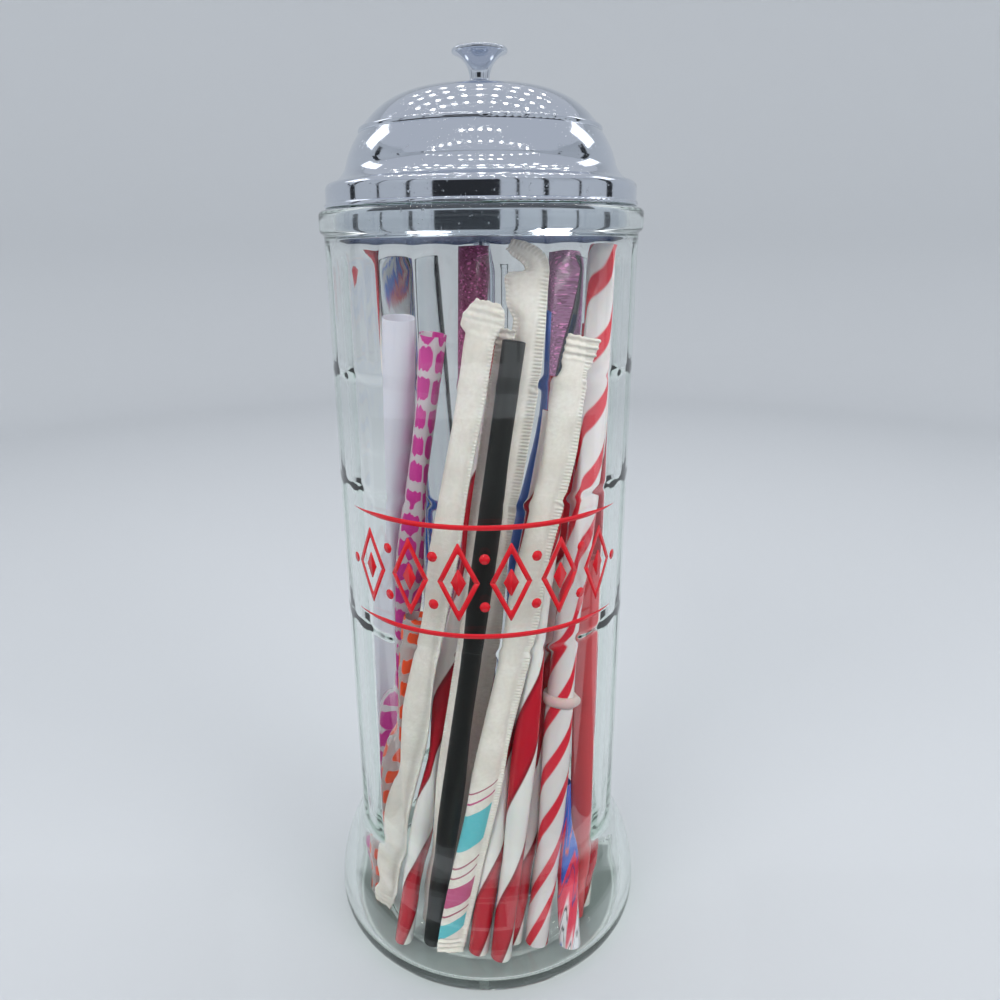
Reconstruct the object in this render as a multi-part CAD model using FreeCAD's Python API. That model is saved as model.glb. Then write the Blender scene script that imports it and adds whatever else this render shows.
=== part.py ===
"""Counter-top drinking-straw dispenser.

A tall clear glass jar with a flared foot, a rolled rim bead and an optic (faceted, stepped) bore.
A pressed lid rests on the rim.  Its pull knob is screwed to a centre rod that carries a small lift
plate, so raising the lid raises the straws that stand on the plate.  More straws, some in paper
sleeves, stand beside the plate on the glass floor, with their feet spread into the flare.

Frame: +Z up, origin on the table under the middle of the jar, front of the dispenser towards -Y.
Azimuths are degrees from the front, positive towards +X.  All lengths are millimetres.
"""
import FreeCAD
import Part
import math
import os

Vector = FreeCAD.Vector
Z_AXIS = Vector(0, 0, 1)
ORIGIN = Vector(0, 0, 0)

# ---------------------------------------------------------------- glass jar
jar_height = 251.5
jar_radius = 47.5            # outside of the straight body
top_wall = 3.4               # glass at the mouth end of the bore
floor_thickness = 5.0
base_recess_depth = 1.2      # shallow hollow under the base
base_ring_width = 9.0        # flat ring that the jar stands on
foot_flare = 9.1             # how far the foot stands out past the body
foot_corner_height = 7.7     # widest point of the foot
foot_turn = 0.7              # share of the flank's height at which it turns from convex to concave
base_round_width = 6.6       # rounding between the base ring and the widest point
neck_height = 42.0           # where the foot meets the straight body
bead_height = 6.8
bead_projection = 1.3
bead_round = 1.5
facet_count = 24
tier_heights = (124.7, 171.6, 205.7)
tier_step = 0.45             # the bore opens by this at each step going up
facet_fade = 0.3             # the foot's round cavity meets the facets within this depth
facet_fade_height = 9.0
mouth_depth = 11.0           # round part of the bore under the rim

# ---------------------------------------------------------------- lid
lid_clearance = 0.2          # lid lip above the glass rim
lid_sheet = 0.8
lid_inset = 1.1              # the lid's upright band stands in from the body of the jar
lid_lip_radius = 0.9         # rolled edge
band_height = 7.4
band_round = 2.2             # bend between the band and the ledge
ledge_width = 6.6            # hollow slope above the band
ledge_rise = 5.4
tier_width = 4.1             # bulging wall above the slope
tier_rise = 8.0
crease_width = 0.9           # step under the dome
crease_rise = 1.5
dome_rise = 10.9
crown_flat = 6.6             # level seat under the knob
sleeve_clearance = 0.5       # between the locating sleeve and the mouth of the jar
sleeve_depth = 7.5
sleeve_sheet = 0.7
sleeve_seat_gap = 0.1        # between the sleeve's flange and the lid round it
knob_radius = 8.1
knob_height = 11.1
knob_crown = 0.8             # rise of the knob's top face
knob_rim_round = 0.7
knob_stem_radius = 2.9
knob_base_radius = 3.7
knob_foot_height = 1.6
knob_thread_depth = 6.0

# ---------------------------------------------------------------- lifter
rod_radius = 2.5
stud_radius = 2.0
stud_run_out = 1.0           # bare stud between the rod's shoulder and the nut under the lid
stud_end_gap = 0.5           # between the stud's end and the bottom of the knob's thread
thread_clearance = 0.05
nut_across_flats = 7.0
nut_height = 3.0
foot_nut_height = 2.4
washer_radius = 6.0
washer_height = 1.0
plate_radius = 23.0
plate_thickness = 1.0
plate_stand_off = 0.6        # foot nut above the glass floor
plate_edge_margin = 0.2

# ---------------------------------------------------------------- straws
straw_wall = 0.35
straw_clearance = 0.55       # between the outermost straws and the glass
seat_gap = 0.15              # straw end above the surface that it stands on
upper_reference_height = 213.0   # height at which the upper placing of a straw is given
sleeve_paper_end = 0.8       # thickness of a crimped paper end
sleeve_end_length = 12.0
ring_height = 3.6
ring_width = 1.6
ring_distance = 94.5         # along the striped straw, from its foot

# Straws that stand on the glass floor: diameter, length, then where the axis passes the neck of
# the jar and where it passes the upper reference height.  Each place is an azimuth and a depth,
# the distance that the straw stays in from the glass there.
JAR_STRAWS = {
    "straw_twist_left": (6.0, 214, (-37.5, 1.0), (38.7, 30.9)),
    "straw_black": (6.5, 213, (-21.9, 0.0), (11.6, 0.5)),
    "straw_twist_front": (7.0, 190, (2.1, 4.2), (71.3, 14.5)),
    "straw_twist_middle": (7.0, 200, (11.8, 0.0), (56.7, 8.5)),
    "straw_twist_right": (7.0, 216, (23.0, 6.7), (93.0, 6.1)),
    "straw_candy_stripe": (8.0, 238, (31.0, 0.0), (64.5, 1.4)),
    "straw_marbled_short": (7.0, 59, (42.8, 0.0), (131.8, 13.6)),
    "straw_coral": (6.0, 140, (54.5, 0.0), (68.3, 3.1)),
    "straw_twist_side": (6.0, 197, (63.9, 0.0), (78.5, 2.0)),
    "straw_lavender": (8.5, 220, (-91.7, 0.0), (-42.4, 3.1)),
    "straw_magenta_print": (7.0, 216, (-77.8, 0.4), (-25.3, 5.7)),
    "straw_orange_print": (6.0, 125, (-65.9, 0.0), (-13.8, 4.7)),
}

# Paper-wrapped straws on the glass floor: sleeve thickness, sleeve width, length and both places.
WRAPPED_STRAWS = {
    "wrapped_straw_left": (4.5, 10.0, 226, (-53.0, 0.5), (-2.1, 1.8)),
    "wrapped_straw_slim": (4.5, 6.5, 216, (-28.4, 5.7), (10.1, 7.8)),
    "wrapped_straw_bent": (4.5, 9.0, 234, (-24.9, 12.0), (23.9, 8.7)),
    "wrapped_straw_printed": (4.0, 10.0, 215, (-9.2, 0.8), (45.2, 2.2)),
}

# Straws that stand on the lift plate: diameter, length, foot (azimuth, depth in from the edge of
# the plate) and place at the upper reference height (azimuth, depth in from the glass).
PLATE_STRAWS = {
    "straw_red_white_back": (7.0, 232, (-127.5, 0.4), (-112.5, 2.4)),
    "straw_clear_left": (6.5, 228, (-104, 1), (-102.5, 11.7)),
    "straw_clear_centre": (7.0, 228, (-115.5, 7.7), (-112.5, 20.8)),
    "straw_glitter_pink": (9.0, 233, (-77.7, 2.4), (-32.2, 30.5)),
    "straw_clear_right": (6.5, 226, (119.7, 11.5), (140.6, 27.9)),
    "straw_glitter_purple": (9.0, 230, (131.5, 0.9), (129, 4.7)),
    "straw_clear_thin": (6.0, 228, (103.7, 0.8), (106, 7.4)),
    "straw_marbled_back": (6.5, 228, (-157.5, 0), (-133, 2.6)),
    "straw_blue": (6.0, 212, (166.5, 6.9), (117.1, 14.4)),
}

# ---------------------------------------------------------------- worked out from the above
tier_radii = [jar_radius - top_wall - tier_step * (len(tier_heights) - i)
              for i in range(len(tier_heights) + 1)]
mouth_radius = tier_radii[-1] / math.cos(math.pi / facet_count)
lid_radius = jar_radius - lid_inset
lid_base = jar_height + lid_clearance
band_top = lid_base + band_height
lid_top = band_top + ledge_rise + tier_rise + crease_rise + dome_rise
plate_bottom = floor_thickness + plate_stand_off + foot_nut_height
plate_top = plate_bottom + plate_thickness
low_lean_radius = tier_radii[0] - straw_clearance
high_lean_radius = tier_radii[1] - straw_clearance


def point(radius, height):
    """A point of a turned profile, in the XZ plane."""
    return Vector(radius, 0, height)


def line(start, end):
    return Part.LineSegment(start, end).toShape()


def arc(start, middle, end):
    return Part.Arc(start, middle, end).toShape()


def tangent_arc(start, heading, end):
    """Arc that leaves its start along a heading and stops at its end."""
    chord = end - start
    normal = (chord - heading * chord.dot(heading)).normalize()
    radius = chord.Length ** 2 / (2 * chord.dot(normal))
    centre = start + normal * radius
    outward = (start - centre + end - centre).normalize()
    return arc(start, centre + outward * radius, end)


def turned(edges):
    """Solid of revolution about Z from the edges of a closed profile."""
    face = Part.Face(Part.Wire(edges))
    return face.revolve(ORIGIN, Z_AXIS, 360)


def ring(outer, inner, bottom, height):
    """Plain ring about the Z axis."""
    body = Part.makeCylinder(outer, height, Vector(0, 0, bottom))
    return body.cut(Part.makeCylinder(inner, height, Vector(0, 0, bottom)))


def polygon_prism(sides, apothem, bottom, height):
    """Regular prism with a flat facing the front."""
    corner = apothem / math.cos(math.pi / sides)
    turn = 2 * math.pi / sides
    corners = [Vector(corner * math.cos((i + 0.5) * turn), corner * math.sin((i + 0.5) * turn), bottom)
               for i in range(sides + 1)]
    return Part.Face(Part.makePolygon(corners)).extrude(Vector(0, 0, height))


def foot_flank(inset):
    """The foot's widest point, its neck and the S-shaped flank between, moved in by a wall."""
    corner = point(jar_radius + foot_flare - inset, foot_corner_height)
    neck = point(jar_radius - inset, neck_height)
    turn = corner + (neck - corner) * foot_turn
    flank = [tangent_arc(corner, Z_AXIS, turn), tangent_arc(neck, -Z_AXIS, turn)]
    return corner, neck, flank


def rim_bead():
    """Rounded bead round the outside of the rim, with its root sunk into the wall."""
    low = point(jar_radius, jar_height - bead_height)
    low_side = point(jar_radius + bead_projection, low.z + bead_round)
    high_side = point(low_side.x, jar_height - bead_round)
    high = point(low_side.x - bead_round, jar_height)
    shank_low = point(jar_radius - bead_round, low.z)
    shank_high = point(shank_low.x, jar_height)
    return turned([
        line(shank_low, low), tangent_arc(low_side, -Z_AXIS, low),
        line(low_side, high_side), tangent_arc(high_side, Z_AXIS, high),
        line(high, shank_high), line(shank_high, shank_low),
    ])


def glass_jar():
    """Outer form, less the spread foot cavity, the faceted tiers and the round mouth."""
    corner, neck, flank = foot_flank(0)
    stand = point(corner.x - base_round_width, 0)
    ring_inside = point(stand.x - base_ring_width, 0)
    recess_edge = point(ring_inside.x - 2 * base_recess_depth, base_recess_depth)
    top = point(jar_radius, jar_height)
    outside = turned([
        line(point(0, base_recess_depth), recess_edge),
        line(recess_edge, ring_inside),
        line(ring_inside, stand),
        tangent_arc(corner, -Z_AXIS, stand), *flank,
        line(neck, top),
        line(top, point(0, jar_height)),
        line(point(0, jar_height), point(0, base_recess_depth)),
    ])
    corner, neck, flank = foot_flank(jar_radius - tier_radii[0] - facet_fade)
    floor_edge = point(corner.x - foot_corner_height + floor_thickness, floor_thickness)
    fade_end = point(tier_radii[0] - facet_fade, neck_height + facet_fade_height)
    cavity = turned([
        line(point(0, floor_thickness), floor_edge),
        tangent_arc(corner, -Z_AXIS, floor_edge), *flank,
        line(neck, fade_end),
        line(fade_end, point(0, fade_end.z)),
        line(point(0, fade_end.z), point(0, floor_thickness)),
    ])
    bottoms = (neck_height,) + tier_heights
    tops = tier_heights + (jar_height,)
    for radius, bottom, upper in zip(tier_radii, bottoms, tops):
        cavity = cavity.fuse(polygon_prism(facet_count, radius, bottom, upper - bottom))
    mouth = Part.makeCylinder(mouth_radius, mouth_depth, Vector(0, 0, jar_height - mouth_depth))
    return outside.fuse(rim_bead()).cut(cavity.fuse(mouth)).removeSplitter()


def lid_outline(thickness):
    """The lid's section from the rolled edge up to the axis, moved in by the sheet thickness."""
    band = point(lid_radius - thickness, band_top - thickness - band_round)
    ledge = point(band.x - band_round, band_top - thickness)
    ledge_end = point(band.x - ledge_width, ledge.z + ledge_rise)
    ledge_middle = point(band.x - 0.74 * ledge_width, ledge.z + 0.35 * ledge_rise)
    tier_end = point(ledge_end.x - tier_width, ledge_end.z + tier_rise)
    tier_middle = point(ledge_end.x - 0.38 * tier_width, ledge_end.z + 0.5 * tier_rise)
    crease = point(tier_end.x - crease_width, tier_end.z + crease_rise)
    crease_middle = point(tier_end.x + 0.05, tier_end.z + 0.75 * crease_rise)
    brow = point(0.6 * crease.x, crease.z + 0.86 * dome_rise)
    brow_middle = point(0.84 * crease.x, crease.z + 0.51 * dome_rise)
    crown = point(crown_flat, crease.z + dome_rise)
    return [
        line(point(band.x, lid_base), band), tangent_arc(band, Z_AXIS, ledge),
        arc(ledge, ledge_middle, ledge_end), arc(ledge_end, tier_middle, tier_end),
        arc(tier_end, crease_middle, crease), arc(crease, brow_middle, brow),
        tangent_arc(crown, Vector(1, 0, 0), brow),
        line(crown, point(0, crown.z)), line(point(0, crown.z), point(0, lid_base)),
        line(point(0, lid_base), point(band.x, lid_base)),
    ]


def lid_shell():
    """Pressed sheet lid with a rolled lower edge and a centre hole for the stud."""
    shell = turned(lid_outline(0)).cut(turned(lid_outline(lid_sheet)))
    lip_centre = Vector(0, 0, lid_base + lid_lip_radius)
    lip = Part.makeTorus(lid_radius - 0.5 * lid_sheet, lid_lip_radius, lip_centre)
    hole = Part.makeCylinder(stud_radius + thread_clearance, lid_top, ORIGIN)
    return shell.fuse(lip).cut(hole).removeSplitter()


def lid_sleeve():
    """Thin locating ring that drops into the mouth, with a flange pushed into the band."""
    outer = mouth_radius - sleeve_clearance
    bottom = jar_height - sleeve_depth
    flange_bottom = lid_base + 2 * lid_lip_radius + sleeve_seat_gap
    flange_radius = lid_radius - lid_sheet - sleeve_seat_gap
    tube = ring(outer, outer - sleeve_sheet, bottom, flange_bottom + sleeve_sheet - bottom)
    flange = ring(flange_radius, outer - sleeve_sheet, flange_bottom, sleeve_sheet)
    return tube.fuse(flange).removeSplitter()


def lid_knob():
    """Turned trumpet knob with a threaded blind hole."""
    foot_edge = point(knob_base_radius, lid_top + knob_foot_height)
    waist = point(knob_stem_radius, foot_edge.z + knob_base_radius - knob_stem_radius)
    crown = point(0, lid_top + knob_height)
    rim_top = point(knob_radius - knob_rim_round, crown.z - knob_crown)
    rim_side = point(knob_radius, rim_top.z - knob_rim_round)
    rim_low = point(rim_top.x, rim_side.z - knob_rim_round)
    outline = [
        line(point(0, lid_top), point(knob_base_radius, lid_top)),
        line(point(knob_base_radius, lid_top), foot_edge),
        tangent_arc(waist, -Z_AXIS, foot_edge), tangent_arc(waist, Z_AXIS, rim_low),
        arc(rim_low, rim_side, rim_top), tangent_arc(crown, Vector(1, 0, 0), rim_top),
        line(crown, point(0, lid_top)),
    ]
    bore = stud_radius + thread_clearance
    return turned(outline).cut(Part.makeCylinder(bore, knob_thread_depth, Vector(0, 0, lid_top)))


def lid_washer():
    top = lid_top - lid_sheet
    return ring(washer_radius, stud_radius + thread_clearance, top - washer_height, washer_height)


def hex_nut(bottom, height):
    nut = polygon_prism(6, 0.5 * nut_across_flats, bottom, height)
    return nut.cut(Part.makeCylinder(stud_radius + thread_clearance, height, Vector(0, 0, bottom)))


def lid_nut():
    top = lid_top - lid_sheet - washer_height
    return hex_nut(top - nut_height, nut_height)


def lifter_rod():
    """Centre rod, turned down to a stud at both ends."""
    low_shoulder = plate_top + nut_height
    high_shoulder = lid_top - lid_sheet - washer_height - nut_height - stud_run_out
    stud_bottom = plate_bottom - foot_nut_height
    stud_top = lid_top + knob_thread_depth - stud_end_gap
    rod = Part.makeCylinder(rod_radius, high_shoulder - low_shoulder, Vector(0, 0, low_shoulder))
    low_stud = Part.makeCylinder(stud_radius, low_shoulder - stud_bottom, Vector(0, 0, stud_bottom))
    high_stud = Part.makeCylinder(stud_radius, stud_top - high_shoulder, Vector(0, 0, high_shoulder))
    return rod.fuse([low_stud, high_stud]).removeSplitter()


def lifter_plate():
    """Flat round plate with a rounded edge."""
    half = 0.5 * plate_thickness
    rim = plate_radius - half
    bore = stud_radius + thread_clearance
    return turned([
        line(point(bore, plate_bottom), point(rim, plate_bottom)),
        arc(point(rim, plate_bottom), point(plate_radius, plate_bottom + half), point(rim, plate_top)),
        line(point(rim, plate_top), point(bore, plate_top)),
        line(point(bore, plate_top), point(bore, plate_bottom)),
    ])


def polar(place, radius, height):
    """Point at an azimuth, a radius less the depth of the place, and a height."""
    azimuth, depth = place
    angle = math.radians(azimuth)
    reach = radius - depth
    return Vector(reach * math.sin(angle), -reach * math.cos(angle), height)


def stand(low, high, half_width, seat):
    """Foot and direction of a straw through two points, standing on a level seat."""
    direction = (high - low).normalize()
    tilt = math.hypot(direction.x, direction.y)
    foot_height = seat + seat_gap + half_width * tilt
    foot = low + direction * ((foot_height - low.z) / direction.z)
    return foot, direction


def jar_stand(half_thickness, half_width, low_place, high_place):
    low = polar(low_place, low_lean_radius - half_thickness, neck_height)
    high = polar(high_place, high_lean_radius - half_thickness, upper_reference_height)
    return stand(low, high, half_width, floor_thickness)


def plate_stand(half_thickness, foot_place, high_place):
    low = polar(foot_place, plate_radius - plate_edge_margin - half_thickness, plate_top)
    high = polar(high_place, high_lean_radius - half_thickness, upper_reference_height)
    return stand(low, high, half_thickness, plate_top)


def straw_tube(foot, direction, diameter, length):
    outer = 0.5 * diameter
    tube = ring(outer, outer - straw_wall, 0, length)
    tube.Placement = FreeCAD.Placement(foot, FreeCAD.Rotation(Z_AXIS, direction))
    return tube


def stop_ring(foot, direction, diameter):
    """Soft ring pushed onto the striped straw, with a rounded outside."""
    inner = 0.5 * diameter + thread_clearance
    outer = inner + ring_width
    half = 0.5 * ring_height
    body = turned([
        line(point(inner, -half), point(outer - 0.5 * half, -half)),
        arc(point(outer - 0.5 * half, -half), point(outer, 0), point(outer - 0.5 * half, half)),
        line(point(outer - 0.5 * half, half), point(inner, half)),
        line(point(inner, half), point(inner, -half)),
    ])
    centre = foot + direction * ring_distance
    body.Placement = FreeCAD.Placement(centre, FreeCAD.Rotation(Z_AXIS, direction))
    return body


def flat_round(width, thickness, height):
    """Closed outline of a flattened sleeve: two straight sides and two round edges."""
    half = 0.5 * thickness
    side = 0.5 * width - half
    return Part.Wire([
        line(Vector(-side, -half, height), Vector(side, -half, height)),
        arc(Vector(side, -half, height), Vector(side + half, 0, height), Vector(side, half, height)),
        line(Vector(side, half, height), Vector(-side, half, height)),
        arc(Vector(-side, half, height), Vector(-side - half, 0, height), Vector(-side, -half, height)),
    ])


def paper_sleeve(foot, direction, thickness, width, length):
    """Paper sleeve with the straw inside it, pinched flat at both ends."""
    heights = (0, sleeve_end_length, length - sleeve_end_length, length)
    thicknesses = (sleeve_paper_end, thickness, thickness, sleeve_paper_end)
    outlines = [flat_round(width, t, h) for t, h in zip(thicknesses, heights)]
    sleeve = Part.makeLoft(outlines, True, True)
    middle = foot + direction * (0.5 * length)
    outward = Vector(middle.x, middle.y, 0)
    across = direction.cross(outward).normalize()
    turn = FreeCAD.Rotation(across, direction.cross(across), direction, "ZXY")
    sleeve.Placement = FreeCAD.Placement(foot, turn)
    return sleeve


def build():
    """Every piece of the dispenser, by name."""
    pieces = {
        "glass_jar": glass_jar(),
        "lid_shell": lid_shell(),
        "lid_sleeve": lid_sleeve(),
        "lid_knob": lid_knob(),
        "lid_washer": lid_washer(),
        "lid_nut": lid_nut(),
        "lifter_rod": lifter_rod(),
        "lifter_plate": lifter_plate(),
        "plate_top_nut": hex_nut(plate_top, nut_height),
        "plate_foot_nut": hex_nut(plate_bottom - foot_nut_height, foot_nut_height),
    }
    for name, (diameter, length, low, high) in JAR_STRAWS.items():
        foot, direction = jar_stand(0.5 * diameter, 0.5 * diameter, low, high)
        pieces[name] = straw_tube(foot, direction, diameter, length)
        if name == "straw_candy_stripe":
            pieces["straw_stop_ring"] = stop_ring(foot, direction, diameter)
    for name, (thickness, width, length, low, high) in WRAPPED_STRAWS.items():
        foot, direction = jar_stand(0.5 * thickness, 0.5 * width, low, high)
        pieces[name] = paper_sleeve(foot, direction, thickness, width, length)
    for name, (diameter, length, foot_place, high) in PLATE_STRAWS.items():
        foot, direction = plate_stand(0.5 * diameter, foot_place, high)
        pieces[name] = straw_tube(foot, direction, diameter, length)
    return pieces


os.makedirs("parts", exist_ok=True)
for node, shape in build().items():
    shape.exportStep("parts/" + node + ".step")
    box = shape.BoundBox
    print("%-24s solids %d  valid %s  volume %9.1f  z %.1f to %.1f"
          % (node, len(shape.Solids), shape.isValid(), shape.Volume, box.ZMin, box.ZMax))
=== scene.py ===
# %% [markdown]
# # A counter-top straw dispenser: pressed glass jar, chrome lid, drinking straws
#
# The dispenser is a tall clear jar with a flared foot. Its chrome lid carries a rod and a small
# plate, so that pulling the knob lifts some of the straws. This lesson dresses the engineering
# model of that dispenser: the frame gives every piece at its real place and size, in metres, and
# each cell below adds one finish or one finer mesh.

# %% Load the frame
import math

import bpy
import numpy as np
from mathutils import Matrix, Vector, noise


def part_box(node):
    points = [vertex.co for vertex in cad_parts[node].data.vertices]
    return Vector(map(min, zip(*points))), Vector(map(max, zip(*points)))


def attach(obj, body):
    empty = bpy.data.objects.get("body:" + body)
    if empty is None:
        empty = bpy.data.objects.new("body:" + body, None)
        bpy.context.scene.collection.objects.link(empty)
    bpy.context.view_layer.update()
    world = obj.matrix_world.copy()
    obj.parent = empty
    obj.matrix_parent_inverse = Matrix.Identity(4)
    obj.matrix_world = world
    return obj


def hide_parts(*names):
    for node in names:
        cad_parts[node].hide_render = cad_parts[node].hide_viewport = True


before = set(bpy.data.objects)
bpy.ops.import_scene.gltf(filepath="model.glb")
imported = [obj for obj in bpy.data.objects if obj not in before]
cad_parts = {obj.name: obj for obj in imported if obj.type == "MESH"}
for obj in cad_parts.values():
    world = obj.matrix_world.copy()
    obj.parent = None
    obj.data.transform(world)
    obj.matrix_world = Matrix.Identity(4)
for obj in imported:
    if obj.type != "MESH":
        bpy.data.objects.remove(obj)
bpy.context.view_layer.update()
MM = 0.001

# %% [markdown]
# ## Two small helpers for materials
#
# Designers note colours as sRGB hex values, but a shader adds up light, so it wants linear values.
# One function turns the first into the second. The other one adds a node to a node tree with its
# settings, its values and its links in one call, which keeps the long node trees readable.

# %% Colour and node helpers
MIX_FACTOR, COLOUR_A, COLOUR_B, MIXED_COLOUR = 0, 6, 7, 2     # sockets of a Mix node set to colours


def linear(hex_colour):
    """Linear, opaque RGBA from an sRGB hex colour such as #E3202B."""
    channels = []
    for start in (1, 3, 5):
        value = int(hex_colour[start:start + 2], 16) / 255
        channels.append(value / 12.92 if value <= 0.04045 else ((value + 0.055) / 1.055) ** 2.4)
    return (*channels, 1.0)


def add(tree, kind, sockets=None, **settings):
    """Add a shader node. Settings are its own options, and each socket gets a value or a link.

    A link is given as an output socket, or as a node, which stands for its first output.
    """
    made = tree.nodes.new("ShaderNode" + kind)
    for option, value in settings.items():
        setattr(made, option, value)
    for socket, value in (sockets or {}).items():
        if isinstance(value, bpy.types.Node):
            value = value.outputs[0]
        if isinstance(value, bpy.types.NodeSocket):
            tree.links.new(value, made.inputs[socket])
        else:
            made.inputs[socket].default_value = value
    return made


def new_material(name):
    """An empty material and its node tree."""
    material = bpy.data.materials.new(name)
    material.use_nodes = True
    material.node_tree.nodes.clear()
    return material, material.node_tree


def close(tree, shader, volume=None):
    """End a node tree: the shader, and for solid glass its absorption, go to the output."""
    sockets = {"Surface": shader}
    if volume is not None:
        sockets["Volume"] = volume
    add(tree, "OutputMaterial", sockets)


def let_lamps_through(tree, shader, tint):
    """Shadow rays pass straight through, so the lamps light what stands behind a clear piece."""
    path = add(tree, "LightPath")
    passing = add(tree, "BsdfTransparent", {"Color": tint})
    return add(tree, "MixShader", {0: path.outputs["Is Shadow Ray"], 1: shader, 2: passing})


print("red enamel in linear light:", [round(value, 3) for value in linear("#E3202B")])

# %% [markdown]
# ## The camera
#
# A jar on a counter is mostly looked at from close by, with the eye at about the height of the
# rim and turned down, which makes the sides run together towards the foot. A short lens near the
# jar gives that perspective. The small roll and shift belong to a hand-held view.

# %% Camera
camera_place = Vector((0, -255.5, 242.7)) * MM
camera_pitch = math.radians(90 - 18.195)
camera_roll = math.radians(-0.585)
camera_data = bpy.data.cameras.new("counter_camera")
camera_data.lens = 28.379
camera_data.sensor_width = 36
camera_data.shift_x = 0.016
camera_data.clip_start = 0.01
camera = bpy.data.objects.new("counter_camera", camera_data)
camera.matrix_world = (Matrix.Translation(camera_place) @ Matrix.Rotation(camera_pitch, 4, "X")
                       @ Matrix.Rotation(camera_roll, 4, "Z"))
bpy.context.scene.collection.objects.link(camera)
bpy.context.scene.camera = camera
bpy.context.scene.view_settings.view_transform = "Standard"
bpy.context.scene.cycles.max_bounces = 24            # light runs far inside a thick glass wall
bpy.context.scene.cycles.transmission_bounces = 24
bpy.context.scene.cycles.glossy_bounces = 16
print("camera %.0f mm from the jar's axis" % (camera_place.xy.length / MM))

# %% [markdown]
# ## Mesh helpers
#
# Nearly everything here is a grid of points: a turned jar, a tube, a flattened paper sleeve. One
# function lists the faces of such a grid, which closes round its columns, and round its rows too
# where asked. Another makes the smooth piece, with UV coordinates where a pattern needs them.
# Lengths in them are real metres, so that a pattern can be given in millimetres later.

# %% Grid meshes
def new_piece(name, points, faces, corner_uvs=None):
    """A smooth mesh object in the scene. Each face may bring one UV pair per corner."""
    mesh = bpy.data.meshes.new(name)
    mesh.from_pydata(points, [], faces)
    if corner_uvs is not None:
        layer = mesh.uv_layers.new(name="UVMap")
        layer.data.foreach_set("uv", [value for uv in corner_uvs for value in uv])
    mesh.shade_smooth()
    piece = bpy.data.objects.new(name, mesh)
    bpy.context.scene.collection.objects.link(piece)
    return piece


def grid_faces(rows, columns, close_rows):
    """Faces of a grid that closes round its columns, row by row."""
    faces = []
    for row in range(rows if close_rows else rows - 1):
        above = (row + 1) % rows
        for column in range(columns):
            beside = (column + 1) % columns
            faces.append((row * columns + column, row * columns + beside,
                          above * columns + beside, above * columns + column))
    return faces


def finish_piece(piece, material, slot, body, *nodes):
    """Material, body and the CAD nodes that the piece stands for. The slot is not used."""
    piece.data.materials.append(material)
    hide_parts(*nodes)
    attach(piece, body)


print("grid helpers ready")

# %% [markdown]
# ## The stage
#
# A glass jar shows whatever stands around it, so it is set in a round pale tent: floor, cove and
# wall in one sheet, open at the top, with soft lamps above. A pale grey is better than pure
# white here, because white paper and clear glass both have to stand out from it. Chrome needs
# something dark to mirror as well, and the front of the jar would mirror a pale floor as a grey
# veil over the straws. Product studios hang up black flags for that, and here they are strips in
# front of the tent and a cloth before the jar that only reflections see.

# %% Stage
tent_floor_radius = 1.0
tent_cove_radius = 0.25
tent_wall_height = 1.1
tent_columns = 96
tent_cove_steps = 12
tent_hub_radius = 0.002
tent_profile = [(tent_hub_radius, 0.0), (tent_floor_radius, 0.0)]
for step in range(1, tent_cove_steps + 1):
    angle = math.radians(90 * step / tent_cove_steps)
    tent_profile.append((tent_floor_radius + tent_cove_radius * math.sin(angle),
                         tent_cove_radius * (1 - math.cos(angle))))
tent_profile.append((tent_floor_radius + tent_cove_radius, tent_wall_height))
tent_points = []
for radius, height in tent_profile:
    for column in range(tent_columns):
        angle = 2 * math.pi * column / tent_columns
        tent_points.append((radius * math.cos(angle), radius * math.sin(angle), height))
tent_faces = grid_faces(len(tent_profile), tent_columns, False)
tent_faces.append(tuple(reversed(range(tent_columns))))
tent = new_piece("pale_tent", tent_points, tent_faces)

tent_paper, tree = new_material("pale_grey_backdrop_paper")
grain = add(tree, "TexNoise", {"Scale": 900.0, "Detail": 3.0})
rough = add(tree, "MapRange", {0: grain, 3: 0.7, 4: 0.9})
paper = add(tree, "BsdfPrincipled", {"Base Color": linear("#C3C6C9"), "Roughness": rough})
close(tree, paper)
tent.data.materials.append(tent_paper)
print("tent:", len(tent.data.polygons), "faces")


# %% Pieces that only reflections see
def only_in_reflections(piece, material):
    """Stage piece that mirrors and gloss show, and that neither lights nor shades the object."""
    piece.data.materials.append(material)
    piece.visible_camera = False
    piece.visible_diffuse = False
    piece.visible_shadow = False


def clear_until_reflected(tree, shader):
    """The shader for rays that just one surface has reflected, and nothing at all for the others."""
    path = add(tree, "LightPath")
    reflected = add(tree, "Math", {0: path.outputs["Glossy Depth"], 1: 1.0, 2: 0.5}, operation="COMPARE")
    unseen = add(tree, "BsdfTransparent")
    return add(tree, "MixShader", {0: reflected, 1: unseen, 2: shader})


def bearing(azimuth, radius, height):
    """Point by degrees from the front, positive to the right, radius and height in metres."""
    angle = math.radians(azimuth)
    return radius * math.sin(angle), -radius * math.cos(angle), height


print("45 degrees to the right:", [round(value, 2) for value in bearing(45, 1.0, 0.0)])

# %% Flags
flag_radius = 1.15
flag_step_degrees = 4
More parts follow.
